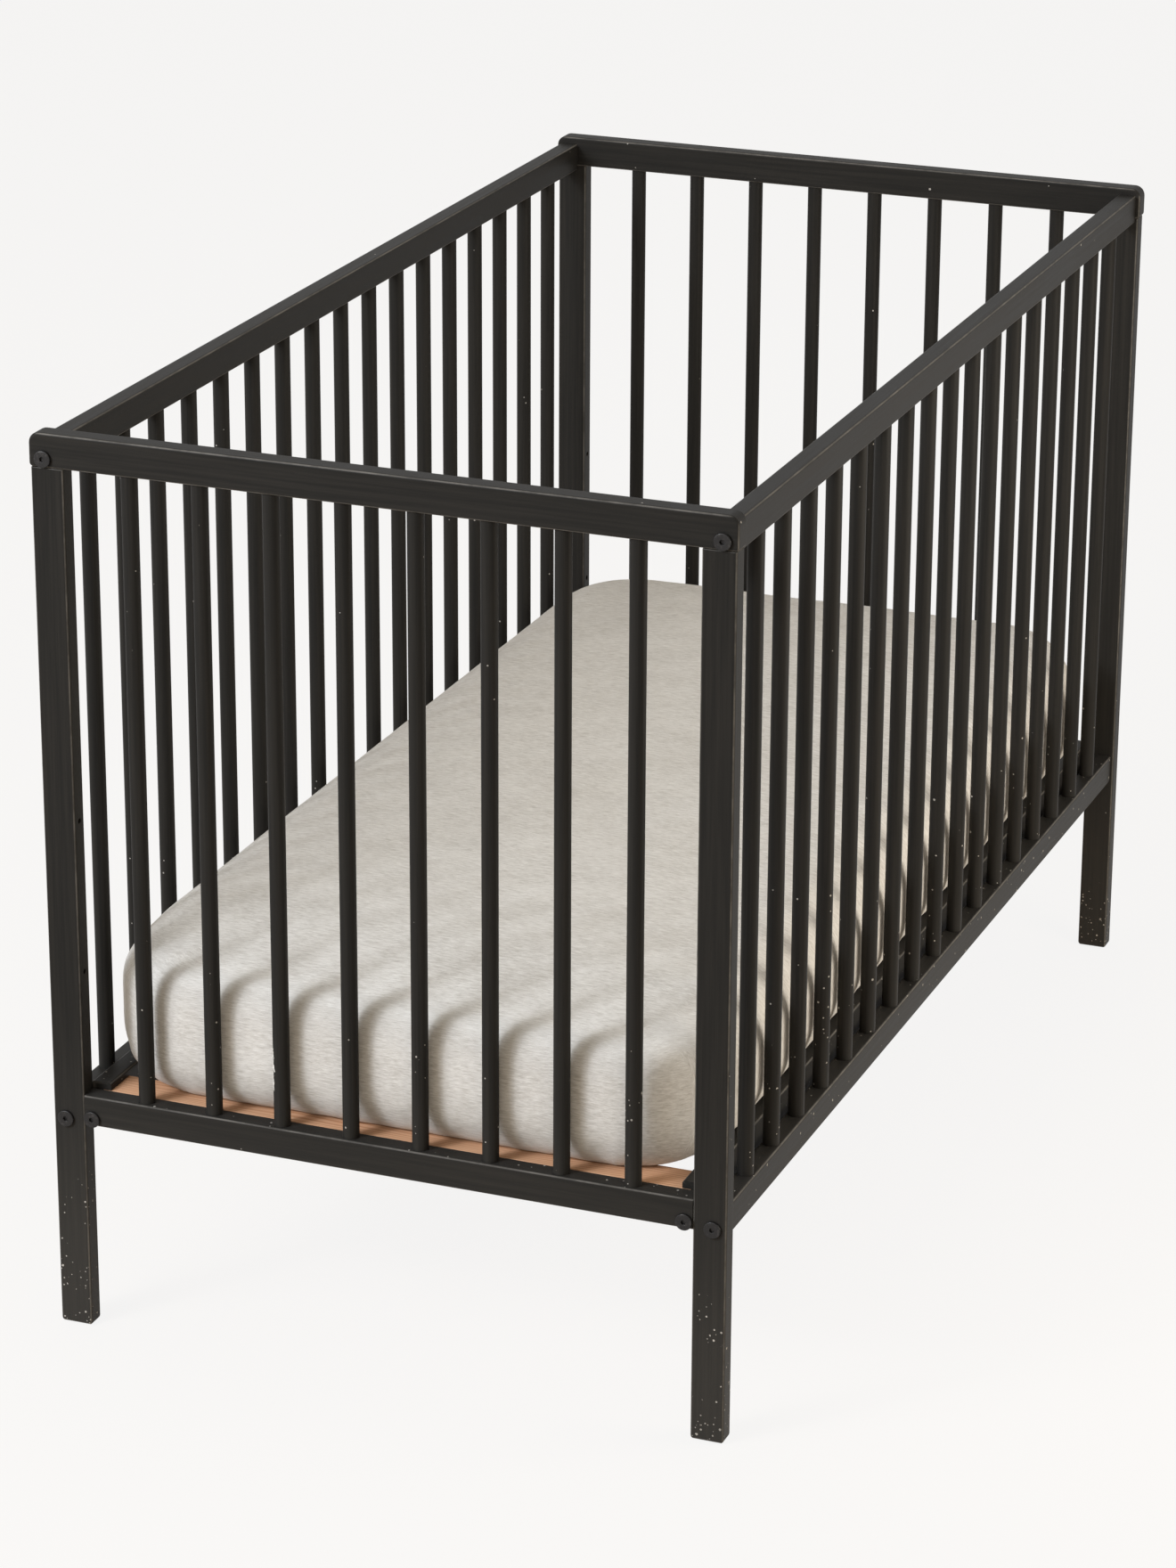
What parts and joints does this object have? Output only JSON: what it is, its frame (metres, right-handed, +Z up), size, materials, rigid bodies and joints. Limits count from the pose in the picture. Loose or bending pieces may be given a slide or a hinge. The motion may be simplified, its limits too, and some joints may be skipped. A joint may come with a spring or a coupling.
{
  "type": "baby crib",
  "caption": "Baby crib with fixed spindle sides, posts and rails of black-stained wood, a slatted height-adjustable base, a mattress and a fitted sheet.",
  "frame": {"origin": "on the floor under the middle of the crib", "axes": "+X along the crib to the head end, +Y across it to the back side, +Z up"},
  "size_m": [1.2556, 0.65, 0.85],
  "materials": {
    "black_stained_wood": "black-stained solid wood under satin lacquer",
    "black_steel": "black-coated steel",
    "natural_wood": "natural pale wood, planed and unlacquered",
    "mattress_cover": "woven cotton ticking over foam",
    "sheet_jersey": "light grey-beige heathered cotton jersey"
  },
  "bodies": {
    "frame": {"foot_front_post": "black_stained_wood", "foot_back_post": "black_stained_wood", "foot_top_rail": "black_stained_wood", "foot_bottom_rail": "black_stained_wood", "foot_spindle_1": "black_stained_wood", "foot_spindle_2": "black_stained_wood", "foot_spindle_3": "black_stained_wood", "foot_spindle_4": "black_stained_wood", "foot_spindle_5": "black_stained_wood", "foot_spindle_6": "black_stained_wood", "foot_spindle_7": "black_stained_wood", "foot_spindle_8": "black_stained_wood", "head_front_post": "black_stained_wood", "head_back_post": "black_stained_wood", "head_top_rail": "black_stained_wood", "head_bottom_rail": "black_stained_wood", "head_spindle_1": "black_stained_wood", "head_spindle_2": "black_stained_wood", "head_spindle_3": "black_stained_wood", "head_spindle_4": "black_stained_wood", "head_spindle_5": "black_stained_wood", "head_spindle_6": "black_stained_wood", "head_spindle_7": "black_stained_wood", "head_spindle_8": "black_stained_wood", "front_top_rail": "black_stained_wood", "front_railing": "black_stained_wood", "back_top_rail": "black_stained_wood", "back_railing": "black_stained_wood", "foot_front_top_bolt": "black_steel", "foot_front_bottom_bolt": "black_steel", "foot_front_base_bolt": "black_steel", "foot_back_top_bolt": "black_steel", "foot_back_bottom_bolt": "black_steel", "foot_back_base_bolt": "black_steel", "head_front_top_bolt": "black_steel", "head_front_bottom_bolt": "black_steel", "head_front_base_bolt": "black_steel", "head_back_top_bolt": "black_steel", "head_back_bottom_bolt": "black_steel", "head_back_base_bolt": "black_steel"},
    "base": {"base_front_rail": "black_stained_wood", "base_back_rail": "black_stained_wood", "base_slat_1": "natural_wood", "base_slat_2": "natural_wood", "base_slat_3": "natural_wood", "base_slat_4": "natural_wood", "base_slat_5": "natural_wood", "base_slat_6": "natural_wood", "base_slat_7": "natural_wood", "base_slat_8": "natural_wood", "base_slat_9": "natural_wood", "base_slat_10": "natural_wood", "base_slat_11": "natural_wood", "base_slat_12": "natural_wood", "base_slat_13": "natural_wood"},
    "mattress": {"mattress": "mattress_cover", "fitted_sheet": "sheet_jersey"}
  },
  "joints": [
    {"name": "base_height", "type": "slide", "parent": "frame", "child": "base", "axis": [0, 0, 1], "range_m": [0, 0.2835]},
    {"name": "mattress_lift", "type": "slide", "parent": "base", "child": "mattress", "axis": [0, 0, 1], "range_m": [0, 0.63]}
  ]
}
